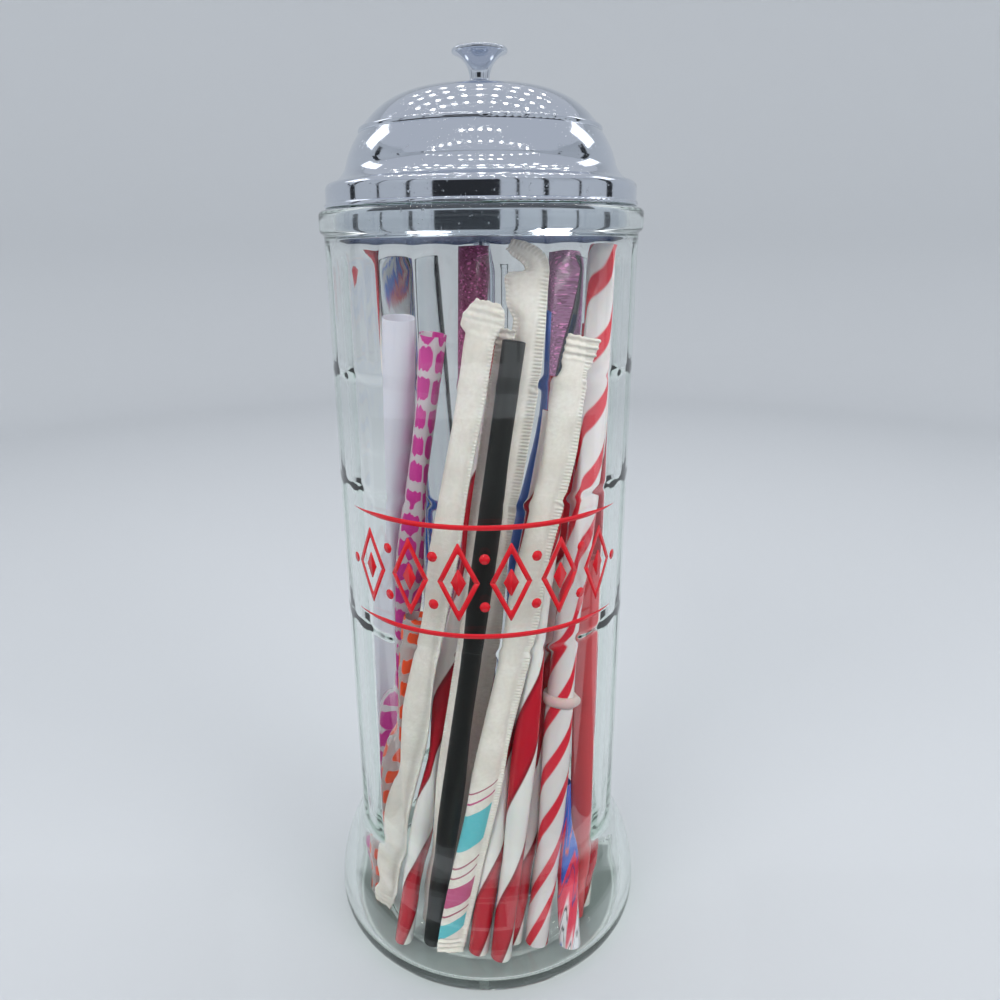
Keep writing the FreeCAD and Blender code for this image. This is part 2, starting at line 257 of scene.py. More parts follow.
# Left edge and width in degrees round the jar, lower and upper edge in metres.
flags = [(-33, 46, 0.02, 0.62), (-104, 6, 0.02, 0.95), (-76, 2, 0.02, 0.95), (-52, 3, 0.02, 0.95),
         (24, 2, 0.02, 0.95), (43, 4, 0.02, 0.95), (71, 2, 0.02, 0.95), (98, 7, 0.02, 0.95)]
flag_points = []
flag_faces = []
for azimuth, width, low, high in flags:
    first = len(flag_points)
    steps = max(2, round(width / flag_step_degrees))
    for step in range(steps + 1):
        turn = azimuth + width * step / steps
        flag_points += [bearing(turn, flag_radius, low), bearing(turn, flag_radius, high)]
    for step in range(steps):
        a = first + 2 * step
        flag_faces.append((a, a + 2, a + 3, a + 1))
black_felt, tree = new_material("black_felt")
pile = add(tree, "TexNoise", {"Scale": 400.0, "Detail": 2.0})
felt_rough = add(tree, "MapRange", {0: pile, 3: 0.85, 4: 1.0})
felt = add(tree, "BsdfPrincipled", {"Base Color": linear("#2A2B2D"), "Roughness": felt_rough})
close(tree, clear_until_reflected(tree, felt))
only_in_reflections(new_piece("black_flags", flag_points, flag_faces), black_felt)
print("flags:", len(flags))

# %% Floor cloth
cloth_steps = 24
cloth_edges = (0.1, 0.95)
cloth_height = 0.0006
cloth_points = [bearing(180 * step / cloth_steps - 90, radius, cloth_height)
                for radius in cloth_edges for step in range(cloth_steps + 1)]
cloth_faces = [(step, step + 1, cloth_steps + step + 2, cloth_steps + step + 1)
               for step in range(cloth_steps)]
only_in_reflections(new_piece("black_floor_cloth", cloth_points, cloth_faces), black_felt)
print("floor cloth from %.1f to %.2f m" % cloth_edges)

# %% [markdown]
# ## Light
#
# Three large soft lamps: a key from the front left, a weaker fill from the right and a broad one
# above. The world adds an even pale light. The levels are plain, so a colour renders about as it
# is written. Chrome would mirror these lamps as big white patches, so they are kept out of the
# reflections. Two square windows, left and right towards the back, and rows of small round ceiling
# lamps take their place there, which gives the lid its short bright bars and its strings of dots.

# %% Lamps and world
lamp_target = Vector((0, 0, 0.15))


def soft_lamp(name, place, size, watts, mirrored=False):
    """A square lamp that looks at the middle of the jar."""
    data = bpy.data.lights.new(name, "AREA")
    data.size = size
    data.energy = watts
    lamp = bpy.data.objects.new(name, data)
    lamp.visible_glossy = mirrored
    lamp.location = Vector(place)
    lamp.rotation_euler = (lamp_target - lamp.location).to_track_quat("-Z", "Y").to_euler()
    bpy.context.scene.collection.objects.link(lamp)


soft_lamp("key_softbox", (-0.75, -0.85, 0.95), size=0.7, watts=8.6)
soft_lamp("fill_softbox", (0.85, -0.6, 0.8), size=0.6, watts=4.6)
soft_lamp("top_softbox", (0.05, 0.25, 1.25), size=0.9, watts=7.2)
soft_lamp("left_window", (-0.88, 0.5, 0.95), size=0.34, watts=0.5, mirrored=True)
soft_lamp("right_window", (0.9, 0.46, 0.95), size=0.34, watts=0.5, mirrored=True)

world = bpy.data.worlds.new("soft_daylight")
world.use_nodes = True
world.node_tree.nodes.clear()
sky = add(world.node_tree, "Background", {"Color": linear("#E2E8F2"), "Strength": 0.66})
add(world.node_tree, "OutputWorld", {"Surface": sky})
bpy.context.scene.world = world
print("lamps:", [lamp.name for lamp in bpy.data.lights])

# %% Ceiling lamps
ceiling_height = 1.3
ceiling_lamp_radius = 0.02
ceiling_lamp_corners = 12
# How far back each row hangs in metres, its number of lamps, and the metres from one to the next.
ceiling_rows = [(-0.95, 15, 0.18), (-0.5, 5, 0.115), (0.05, 9, 0.115), (0.3, 11, 0.115),
                (0.62, 11, 0.115), (0.95, 9, 0.115)]
dot_points = []
dot_faces = []
for depth, count, spacing in ceiling_rows:
    for index in range(count):
        across = (index - 0.5 * (count - 1)) * spacing
        first = len(dot_points)
        for corner in range(ceiling_lamp_corners):
            angle = 2 * math.pi * corner / ceiling_lamp_corners
            dot_points.append((across + ceiling_lamp_radius * math.cos(angle),
                               depth + ceiling_lamp_radius * math.sin(angle), ceiling_height))
        dot_faces.append(tuple(reversed(range(first, first + ceiling_lamp_corners))))
lamp_glow, tree = new_material("small_ceiling_lamps")
glow = add(tree, "Emission", {"Color": linear("#FFFBF2"), "Strength": 14.0})
close(tree, clear_until_reflected(tree, glow))
lamp_glow.cycles.emission_sampling = "NONE"          # mirrors find these lamps by themselves
only_in_reflections(new_piece("ceiling_lamps", dot_points, dot_faces), lamp_glow)
print("ceiling lamps:", len(dot_faces))

# %% [markdown]
# ## Clear glass
#
# The jar is soda-lime glass, pressed in a mould and fire-polished. It refracts with an index of
# about 1.52 and is colourless when thin, but its iron shows as a grey green where the light runs
# a long way through it, as in the foot. An absorbing volume gives that by itself, and a faint
# wide ripple in the normals gives the hand of the press. A fine knurl runs round the foot just
# above the table, where the mould is toothed so that the hot jar doesn't stick to the conveyor.

# %% Glass material
jar_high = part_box("glass_jar")[1]
glass_index = 1.52
glass_ripple_mm = 9.0
glass_ripple_depth = 0.2
knurl_teeth = 320
knurl_depth = 0.12
knurl_width = 6.0
knurl_starts = (0.2, 0.8)
knurl_ends = (2.6, 3.4)
pressed_glass, tree = new_material("pressed_soda_lime_glass")
place = add(tree, "TexCoord")
ripple = add(tree, "TexNoise", {"Vector": place.outputs["Object"], "Scale": 1 / (glass_ripple_mm * MM),
                                "Detail": 1.0})
bump = add(tree, "Bump", {"Strength": 0.06, "Distance": glass_ripple_depth * MM, "Height": ripple})
at_xyz = add(tree, "SeparateXYZ", {0: place.outputs["Object"]})
angle = add(tree, "Math", {0: at_xyz.outputs[1], 1: at_xyz.outputs[0]}, operation="ARCTAN2")
teeth = add(tree, "Math", {0: angle, 1: float(knurl_teeth)}, operation="MULTIPLY")
tooth = add(tree, "Math", {0: teeth}, operation="SINE")
rising = add(tree, "MapRange", {0: at_xyz.outputs[2], 1: knurl_starts[0] * MM,
                                2: knurl_starts[1] * MM})
fading = add(tree, "MapRange", {0: at_xyz.outputs[2], 1: knurl_ends[0] * MM, 2: knurl_ends[1] * MM,
                                3: 1.0, 4: 0.0})
across = add(tree, "CombineXYZ", {0: at_xyz.outputs[0], 1: at_xyz.outputs[1]})
reach = add(tree, "VectorMath", {0: across}, operation="LENGTH")
outer = add(tree, "MapRange", {0: reach.outputs["Value"], 1: jar_high.x - knurl_width * MM,
                               2: jar_high.x - (knurl_width - 1) * MM})
low = add(tree, "Math", {0: rising, 1: fading}, operation="MULTIPLY")
knurled = add(tree, "Math", {0: low, 1: outer}, operation="MULTIPLY")
knurl = add(tree, "Math", {0: tooth, 1: knurled}, operation="MULTIPLY")
bump = add(tree, "Bump", {"Strength": 1.0, "Distance": knurl_depth * MM, "Height": knurl,
                          "Normal": bump})
glass = add(tree, "BsdfPrincipled", {
    "Base Color": (1, 1, 1, 1), "Roughness": 0.0, "IOR": glass_index, "Transmission Weight": 1.0,
    "Normal": bump})
absorbing = add(tree, "VolumeAbsorption", {"Color": linear("#D4E9DC"), "Density": 22.0})
close(tree, let_lamps_through(tree, glass, (0.94, 0.96, 0.95, 1)), absorbing)
print("glass ready: index", glass_index)

# %% [markdown]
# ## The jar
#
# The bore of a pressed jar isn't round: the plunger leaves tall flat panels, and it is stepped, so
# that it can be drawn out. Each step runs in shallow scallops, one to a panel, and these are what
# break up the straws behind. The jar is a grid of rings, 12 columns to a panel. A ring may change
# its height and radius with the angle, so the rings follow the scallops exactly.

# %% Jar measures
panels = 24
columns_per_panel = 12
jar_columns = panels * columns_per_panel
jar_height = jar_high.z / MM
foot_radius = jar_high.x / MM
foot_flare = 9.1
jar_radius = foot_radius - foot_flare
top_wall = 3.4
tier_step = 0.45
tier_heights = (124.7, 171.6, 205.7)
tier_apothems = [jar_radius - top_wall - tier_step * (3 - tier) for tier in range(4)]
mouth_radius = tier_apothems[-1] / math.cos(math.pi / panels)
mouth_depth = 11.0
neck_height = 42.0
foot_corner_height = 7.7
foot_turn = 0.7
base_round_width = 6.6
base_ring_width = 9.0
base_recess_depth = 1.2
floor_thickness = 5.0
facet_fade = 0.1
flank_drop = 3.0
bead_height = 6.8
bead_projection = 1.3
bead_round = 1.5
print("jar %.1f mm high, %.1f mm across" % (jar_height, 2 * jar_radius))


# %% Lines and arcs of a profile
def tangent_arc(start, heading, end, steps):
    """Points of the arc that leaves start along heading and stops at end, without its start."""
    start, heading, end = Vector(start), Vector(heading), Vector(end)
    chord = end - start
    normal = (chord - heading * chord.dot(heading)).normalized()
    radius = chord.length_squared / (2 * chord.dot(normal))
    centre = start + normal * radius
    turn = 2 * math.asin(min(1.0, chord.length / (2 * radius)))
    if chord.dot(heading) < 0:
        turn = 2 * math.pi - turn
    points = []
    for step in range(1, steps + 1):
        angle = turn * step / steps
        points.append(centre - normal * radius * math.cos(angle) + heading * radius * math.sin(angle))
    return [tuple(point) for point in points]


def arc_between(low, high, steps):
    """Points between low and high of the arc that reaches high straight up."""
    downward = tangent_arc(high, (0, -1), low, steps)
    return downward[-2::-1]


def foot_flank(inset, steps):
    """Widest point, then the S-shaped flank up to the neck, moved in by a wall."""
    corner = Vector((foot_radius - inset, foot_corner_height))
    neck = Vector((jar_radius - inset, neck_height))
    turn = corner + (neck - corner) * foot_turn
    lower = [tuple(corner)] + tangent_arc(corner, (0, 1), turn, steps)
    return lower + arc_between(turn, neck, steps) + [tuple(neck)]


def straight(start, end, steps):
    """Points from start to end, both included."""
    return [(start[0] + (end[0] - start[0]) * step / steps, start[1] + (end[1] - start[1]) * step / steps)
            for step in range(steps + 1)]


print("flank from (%.1f, %.1f) to (%.1f, %.1f) mm" % (*foot_flank(0, 4)[0], *foot_flank(0, 4)[-1]))

# %% Outer profile
hub_radius = 0.01                    # a flat face closes on a ring this small at the axis
stand_radius = foot_radius - base_round_width
ring_inside = stand_radius - base_ring_width
recess_edge = (ring_inside - 2 * base_recess_depth, base_recess_depth)
# A rounded slope leads from the recess down to the ring that the jar stands on.
slope_top = (ring_inside - 1.6, base_recess_depth * 0.85)
slope_foot = (ring_inside - 0.8, 0.15)
bead_low = jar_height - bead_height
bead_side = jar_radius + bead_projection
bead_side_low = (bead_side, bead_low + bead_round)
bead_side_high = (bead_side, jar_height - bead_round)
# A small fillet leads from the wall out to the underside of the rim bead.
fillet = [(jar_radius, bead_low - 0.6), (jar_radius + 0.12, bead_low - 0.12),
          (jar_radius + 0.3, bead_low)]
outside = straight((hub_radius, base_recess_depth), recess_edge, 8)
outside += straight(slope_top, slope_foot, 2)
outside += straight((ring_inside, 0), (stand_radius, 0), 4)
outside += arc_between((stand_radius, 0), (foot_radius, foot_corner_height), 10)
outside += foot_flank(0, 14)
outside += straight((jar_radius, neck_height + 2), fillet[0], 40)
outside += [fillet[1]]
outside += arc_between(fillet[2], bead_side_low, 6)
outside += straight(bead_side_low, bead_side_high, 4)
outside += tangent_arc(bead_side_high, (0, 1), (bead_side - bead_round, jar_height), 6)
print("outer profile:", len(outside), "points, foot to rim")


# %% Jar bore
corner_melt = 0.06                   # fire polishing rounds the corners between the panels
corner_melt_power = 8
scallop_level = 0.4                  # share of a scallop's rise that lies below its step


def panel_share(angle):
    """-1 to 1 across the panel at this angle, 0 at its middle."""
    turn = 2 * math.pi / panels
    return ((angle + 0.5 * turn) % turn - 0.5 * turn) / (0.5 * turn)


def bore_ring(apothem, height, flat=1.0, scallop=0.0):
    """One ring of the bore: flat panels by their share, and the scallop that lifts its corners."""
    ring = []
    for column in range(jar_columns):
        angle = 2 * math.pi * column / jar_columns
        share = panel_share(angle)
        corner = apothem / math.cos(share * math.pi / panels)
        melted = corner - corner_melt * abs(share) ** corner_melt_power
        radius = apothem + (melted - apothem) * flat
        ring.append((radius, height + scallop * (share * share - scallop_level), angle))
    return ring


def plain_ring(radius, height):
    """A round ring, without panels."""
    return bore_ring(radius, height, flat=0.0)


panel_corner = bore_ring(tier_apothems[0], 0.0)[columns_per_panel // 2][0]
print("a panel's corner is %.2f mm further out than its middle" % (panel_corner - tier_apothems[0]))

# %% Jar rings
# From the rim's flat over its rounded inner edge: how far out from the mouth, how far down.
rim_edge = [(1.6, 0.0), (0.7, 0.0), (0.2, 0.2), (0.0, 0.7), (0.0, 4.0)]
mouth_end = jar_height - mouth_depth
step_ramp = 4.0
step_clearance = 3.0                 # the rings between two steps keep this far from them
rings_per_tier = 14
scallop_rise = 0.7
ramp_shares = (0.0, 0.12, 0.25, 0.38, 0.5, 0.62, 0.75, 0.88, 1.0)
facets_end = neck_height + 6
fade_top = neck_height + 7
fade_height = 9
rings = [plain_ring(radius, height) for radius, height in outside]
rings += [plain_ring(mouth_radius + out, jar_height - down) for out, down in rim_edge]
rings += [plain_ring(mouth_radius, mouth_end + above) for above in (3.0, 0.6)]
upper = mouth_end
for tier in (3, 2, 1, 0):
    lower = tier_heights[tier - 1] if tier else facets_end
    apothem = tier_apothems[tier]
    for height, _ in straight((upper - step_clearance, 0), (lower + step_clearance, 0), rings_per_tier):
        rings.append(bore_ring(apothem, height))
    if tier:
        below = tier_apothems[tier - 1]
        for share in ramp_shares:
            radius = apothem + (below - apothem) * share * share * (3 - 2 * share)
            rings.append(bore_ring(radius, lower + step_ramp * (0.5 - share), scallop=scallop_rise))
    upper = lower
for share in (0.2, 0.4, 0.6, 0.8):
    rings.append(bore_ring(tier_apothems[0] - facet_fade * share, fade_top - fade_height * share,
                           flat=1 - share))
flank = foot_flank(jar_radius - (tier_apothems[0] - facet_fade), 12)
flank_height = neck_height - foot_corner_height
cavity = [(radius, height - flank_drop * (height - foot_corner_height) / flank_height)
          for radius, height in flank]
floor_edge = (cavity[0][0] - foot_corner_height + floor_thickness, floor_thickness)
floor_bend = tangent_arc(cavity[0], (0, -1), floor_edge, 6)
floor = straight((floor_edge[0] - 3, floor_thickness), (hub_radius, floor_thickness), 9)
rings += [plain_ring(radius, height) for radius, height in cavity[::-1] + floor_bend + floor]
print("rings:", len(rings))

# %% Jar mesh
jar_points = [(radius * math.cos(angle) * MM, radius * math.sin(angle) * MM, height * MM)
              for ring in rings for radius, height, angle in ring]
jar_faces = grid_faces(len(rings), jar_columns, True)
jar = new_piece("glass_jar_pressed", jar_points, jar_faces)
finish_piece(jar, pressed_glass, "jar_glass", "root", "glass_jar")
print("jar:", len(jar.data.polygons), "faces")

# %% [markdown]
# ## Reading a straw from the frame
#
# Each straw in the frame is a plain tube. Its axis, ends and radius follow from its points: the
# longest spread of the points is the axis. The finer tube built here has the same wall, with cut
# ends that are slightly rounded, and UVs that run once round it, from the back, and along it in
# metres.

# %% Straw axis
straw_wall = 0.35 * MM
straw_columns = 40
straw_end_steps = 4


def unique_points(node_name):
    """The node's points in metres, each once, where points within a micrometre are one."""
    points = np.array([vertex.co[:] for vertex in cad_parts[node_name].data.vertices])
    return np.unique(points.round(6), axis=0)


def axis_of(node_name):
    """Foot and direction of a long straight node, with its length and largest radius."""
    points = unique_points(node_name)
    centre = points.mean(axis=0)
    direction = np.linalg.svd(points - centre, full_matrices=False)[2][0]
    if direction[2] < 0:
        direction = -direction
    along = (points - centre) @ direction
    across = points - centre - np.outer(along, direction)
    radius = np.linalg.norm(across, axis=1).max()
    return Vector(centre + direction * along.min()), Vector(direction), along.max() - along.min(), radius


foot, direction, length, radius = axis_of("straw_black")
print("black straw: %.1f mm long, %.2f mm across" % (length / MM, 2 * radius / MM))


# %% Straw tube
def front_and_right(direction):
    """Unit vectors across a straw: towards the front of the dispenser, and to its right."""
    front = Vector((0, -1, 0))
    front = (front - direction * front.dot(direction)).normalized()
    return front, direction.cross(front)


def straw_tube(node_name, material, slot, body):
    """Closed tube with rounded cut ends in place of a straw node."""
    foot, direction, length, radius = axis_of(node_name)
    front, right = front_and_right(direction)
    half = 0.5 * straw_wall
    middle = radius - half
    profile = []
    for end, turn_from in ((length - half, 0.0), (half, math.pi)):
        for step in range(straw_end_steps + 1):
            angle = turn_from + math.pi * step / straw_end_steps
            profile.append((middle + half * math.cos(angle), end + half * math.sin(angle)))
    points = []
    for offset, along in profile:
        for column in range(straw_columns):
            angle = 2 * math.pi * column / straw_columns - math.pi
            across = front * math.cos(angle) + right * math.sin(angle)
            points.append(foot + direction * along + across * offset)
    uvs = []
    for (_, low), (_, high) in zip(profile, profile[1:] + profile[:1]):
        for column in range(straw_columns):
            left, beside = column / straw_columns, (column + 1) / straw_columns
            uvs += [(left, low), (beside, low), (beside, high), (left, high)]
    piece = new_piece(node_name + "_tube", points, grid_faces(len(profile), straw_columns, True), uvs)
    finish_piece(piece, material, slot, body, node_name)


print("columns round a straw:", straw_columns)

# %% [markdown]
# ## Plastics of the straws
#
# The straws are extruded polypropylene and acrylic. Extrusion leaves faint lines along the tube,
# so nearly every material has a noise that is stretched along the length. Two-colour straws are
# drawn with a twist: the colour depends on the turn round the tube and on the way along it, which
# gives a helix of a known pitch. Clear ones are real transmission, with the printed flecks as
# opaque ink on top.

# %% Straw coordinates
die_lines_round = 60.0               # cells of the noise round the tube
die_lines_along = 25.0               # cells of the noise in a metre of tube
die_line_depth = 0.05
plastic_index = 1.49
acrylic_roughness = 0.22
band_phase = 0.5


def straw_material(name):
    """A new material and its tree, the turn round the straw (0 to 1) and the metres along it."""
    material, tree = new_material(name)
    uv = add(tree, "UVMap", uv_map="UVMap")
    parts = add(tree, "SeparateXYZ", {0: uv})
    return material, tree, parts.outputs[0], parts.outputs[1]


def extrusion_lines(tree, turn, height, strength):
    """Bump of the fine lines that the die leaves along the tube, and their noise."""
    across = add(tree, "Math", {0: turn, 1: die_lines_round}, operation="MULTIPLY")
    along = add(tree, "Math", {0: height, 1: die_lines_along}, operation="MULTIPLY")
    at = add(tree, "CombineXYZ", {0: across, 1: along})
    lines = add(tree, "TexNoise", {"Vector": at, "Scale": 1.0, "Detail": 3.0})
    bump = add(tree, "Bump", {"Strength": strength, "Distance": die_line_depth * MM, "Height": lines})
    return bump, lines


def helix(tree, turn, height, pitch_mm, starts):
    """0 to 1 across the bands of a helix that rises to the right."""
    rise = add(tree, "Math", {0: height, 1: 1 / (pitch_mm * MM)}, operation="MULTIPLY")
    bands = add(tree, "Math", {0: turn, 1: float(starts)}, operation="MULTIPLY")
    lead = add(tree, "Math", {0: rise, 1: bands}, operation="SUBTRACT")
    moved = add(tree, "Math", {0: lead, 1: band_phase}, operation="ADD")
    return add(tree, "Math", {0: moved}, operation="FRACT")


def banded(tree, share, stops):
    """Colour by share, which changes evenly from one (position, hex colour) stop to the next."""
    ramp = add(tree, "ValToRGB", {0: share})
    elements = ramp.color_ramp.elements
    while len(elements) > 1:
        elements.remove(elements[0])
    elements[0].position, elements[0].color = stops[0][0], linear(stops[0][1])
    for position, colour in stops[1:]:
        elements.new(position).color = linear(colour)
    return ramp


print("straw helpers ready")


# %% Plain and twisted plastics
def solid_plastic(name, hex_colour, shade_hex, roughness, subsurface=0.0):
    """One colour right through, with a slow change of shade along the straw."""
    material, tree, turn, height = straw_material(name)
    normal, lines = extrusion_lines(tree, turn, height, 0.25)
    colour = add(tree, "Mix", {MIX_FACTOR: lines, COLOUR_A: linear(hex_colour),
                               COLOUR_B: linear(shade_hex)}, data_type="RGBA")
    worn = add(tree, "MapRange", {0: lines, 3: roughness * 0.85, 4: roughness * 1.2})
    body = add(tree, "BsdfPrincipled", {
        "Base Color": colour.outputs[MIXED_COLOUR], "Roughness": worn, "IOR": plastic_index,
        "Subsurface Weight": subsurface, "Subsurface Scale": 1.5 * MM,
        "Subsurface Radius": (1.0, 0.8, 0.7), "Normal": normal})
    close(tree, body)
    return material


def twisted_plastic(name, pitch_mm, starts, stops):
    """Two or more colours extruded side by side and twisted into a helix."""
    material, tree, turn, height = straw_material(name)
    share = helix(tree, turn, height, pitch_mm, starts)
    colour = banded(tree, share, stops)
    normal, lines = extrusion_lines(tree, turn, height, 0.2)
    worn = add(tree, "MapRange", {0: lines, 3: acrylic_roughness * 0.8, 4: acrylic_roughness * 1.3})
    body = add(tree, "BsdfPrincipled", {
        "Base Color": colour, "Roughness": worn, "IOR": plastic_index, "Subsurface Weight": 0.25,
        "Subsurface Scale": 1.2 * MM, "Coat Weight": 0.3, "Coat Roughness": 0.06, "Normal": normal})
    close(tree, body)
    return material


red, dark_red, milk = "#C2162C", "#8A0C20", "#FAEEEC"
half_and_half = [(0.0, dark_red), (0.06, red), (0.42, red), (0.48, dark_red), (0.50, milk), (0.98, milk),
                 (1.0, dark_red)]
black_plastic = solid_plastic("black_polypropylene", "#1A1A19", "#101111", 0.5)
coral_plastic = solid_plastic("coral_polypropylene", "#E65A60", "#D84C54", 0.3, subsurface=0.3)
blue_plastic = solid_plastic("blue_polypropylene", "#4A78D2", "#3A62BA", 0.28, subsurface=0.2)
lavender_plastic = solid_plastic("milky_lavender_polypropylene", "#E2DDE8", "#D6CFDF", 0.38, subsurface=0.4)
white_red_white = [(0.0, "#F6E6E8"), (0.29, "#F6E6E8"), (0.34, "#E62A40"), (0.63, "#E62A40"),
                   (0.68, "#F6E6E8")]
red_white_twist = twisted_plastic("red_and_white_twisted_acrylic", pitch_mm=70.0, starts=1,
                                  stops=half_and_half)
candy_stripe = twisted_plastic("white_acrylic_with_red_stripes", pitch_mm=22.0, starts=3,
                               stops=white_red_white)
print("plastics:", len(bpy.data.materials), "materials so far")


# %% [markdown]
# ## Marbled, printed and glittering straws
#
# Marbled straws come from streaks of several colours that stretch as the tube is drawn. Printed
# ones carry spots of opaque ink on clear plastic, in rows round the tube. Glitter straws hold
# thousands of tiny foil flakes, so a cell pattern picks a few bright cells among many dull ones.

# %% Marbled and glitter
streaks_along = 12.0                 # cells of the streak noise in a metre of tube
flake_mm = 0.42
flake_units_round = 28.0             # the flakes lie a little stretched along the tube
foil_above = 0.86                    # flakes with a higher value are bare metal foil


def marbled_plastic(name, stops, pitch_mm, streak_share=1.0, zones_mm=None):
    """Twisted streaks. With zones_mm the colour also changes once along that length."""
    material, tree, turn, height = straw_material(name)
    angle = add(tree, "Math", {0: turn, 1: 2 * math.pi}, operation="MULTIPLY")
    twist = add(tree, "Math", {0: height, 1: 2 * math.pi / (pitch_mm * MM)}, operation="MULTIPLY")
    turned = add(tree, "Math", {0: angle, 1: twist}, operation="SUBTRACT")
    across = add(tree, "Math", {0: turned}, operation="COSINE")
    beside = add(tree, "Math", {0: turned}, operation="SINE")
    along = add(tree, "Math", {0: height, 1: streaks_along}, operation="MULTIPLY")
    at = add(tree, "CombineXYZ", {0: across, 1: beside, 2: along})
    streaks = add(tree, "TexNoise", {"Vector": at, "Scale": 1.0, "Detail": 2.0, "Distortion": 0.5})
    spread = add(tree, "MapRange", {0: streaks, 1: 0.3, 2: 0.7, 4: streak_share})
    rise = (1 - streak_share) / (zones_mm * MM) if zones_mm else 0.0
    zoned = add(tree, "Math", {0: height, 1: rise, 2: spread}, operation="MULTIPLY_ADD")
    colour = banded(tree, zoned, stops)
    normal, _ = extrusion_lines(tree, turn, height, 0.2)
    body = add(tree, "BsdfPrincipled", {
        "Base Color": colour, "Roughness": acrylic_roughness, "IOR": plastic_index,
        "Subsurface Weight": 0.2, "Subsurface Scale": 1.0 * MM, "Normal": normal})
    close(tree, body)
    return material


def glitter_plastic(name, clear_hex, flake_hex, spark_hex):
    """A cell pattern whose random values pick each flake's colour, tilt and metal."""
    material, tree, turn, height = straw_material(name)
    around = add(tree, "Math", {0: turn, 1: flake_units_round}, operation="MULTIPLY")
    along = add(tree, "Math", {0: height, 1: 1 / MM}, operation="MULTIPLY")
    at = add(tree, "CombineXYZ", {0: around, 1: along})
    flakes = add(tree, "TexVoronoi", {"Vector": at, "Scale": 1 / flake_mm}, voronoi_dimensions="2D")
    pick = add(tree, "SeparateColor", {0: flakes.outputs["Color"]})
    colour = banded(tree, pick.outputs[0], [(0.0, clear_hex), (0.45, flake_hex), (0.85, flake_hex),
                                            (0.9, spark_hex)])
    metal = add(tree, "Math", {0: pick.outputs[1], 1: foil_above}, operation="GREATER_THAN")
    lying = add(tree, "Bump", {"Strength": 0.25, "Distance": 0.1 * MM, "Height": pick.outputs[2]})
    body = add(tree, "BsdfPrincipled", {
        "Base Color": colour, "Metallic": metal, "Roughness": 0.3, "IOR": plastic_index,
        "Coat Weight": 0.6, "Coat Roughness": 0.08, "Normal": lying})
    close(tree, body)
    return material


marbled = marbled_plastic("marbled_acrylic", [
    (0.0, "#3F68C8"), (0.1, "#4470D0"), (0.12, "#F0ECF2"), (0.17, "#F0ECF2"), (0.18, "#3A3644"),
    (0.2, "#F0ECF2"), (0.25, "#F0ECF2"), (0.26, "#3A3644"), (0.28, "#F2DCE2"), (0.33, "#E84A64"),
    (0.46, "#E23A56"), (0.47, "#34468C"), (0.49, "#E23A56"), (0.55, "#E8405C"), (0.58, "#3F62C4"),
    (0.7, "#4470D0"), (0.72, "#E8795A"), (0.74, "#4470D0"), (1.0, "#3A5CBC")],
    pitch_mm=110.0, streak_share=0.34, zones_mm=62.0)
marbled_back = marbled_plastic("blue_and_white_marbled_acrylic", [
    (0.0, "#F4F2F6"), (0.3, "#F4F2F6"), (0.36, "#4F86F0"), (0.6, "#3F72E0"), (0.65, "#E84A50"),
    (0.7, "#F4F2F6")], pitch_mm=60.0)
pink_glitter = glitter_plastic("pink_glitter_acrylic", "#743856", "#A85A82", "#F080C0")
purple_glitter = glitter_plastic("mauve_glitter_acrylic", "#7A4068", "#A86A96", "#E88CC8")
print("marbled and glitter ready")


# %% Clear and printed
clear_index = 1.45
strokes_round = 13.0                 # cells of the noise that makes the blotches' ends ragged
strokes_per_mm = 0.18
column_stagger = 0.08                # share of a pitch by which each column hangs below the last
blotch_power = 4.0                   # 2 would give ellipses, and a high power rectangles
ink_edge = (0.8, 1.15)


def clear_plastic(name, tint_hex):
    """Clear acrylic, in which only its gloss shows the lines of the die."""
    material, tree, turn, height = straw_material(name)
    normal, lines = extrusion_lines(tree, turn, height, 0.15)
    haze = add(tree, "MapRange", {0: lines, 3: 0.02, 4: 0.08})
    body = add(tree, "BsdfPrincipled", {
        "Base Color": linear(tint_hex), "Roughness": haze, "IOR": clear_index,
        "Transmission Weight": 1.0, "Normal": normal})
    close(tree, let_lamps_through(tree, body, linear(tint_hex)))
    return material


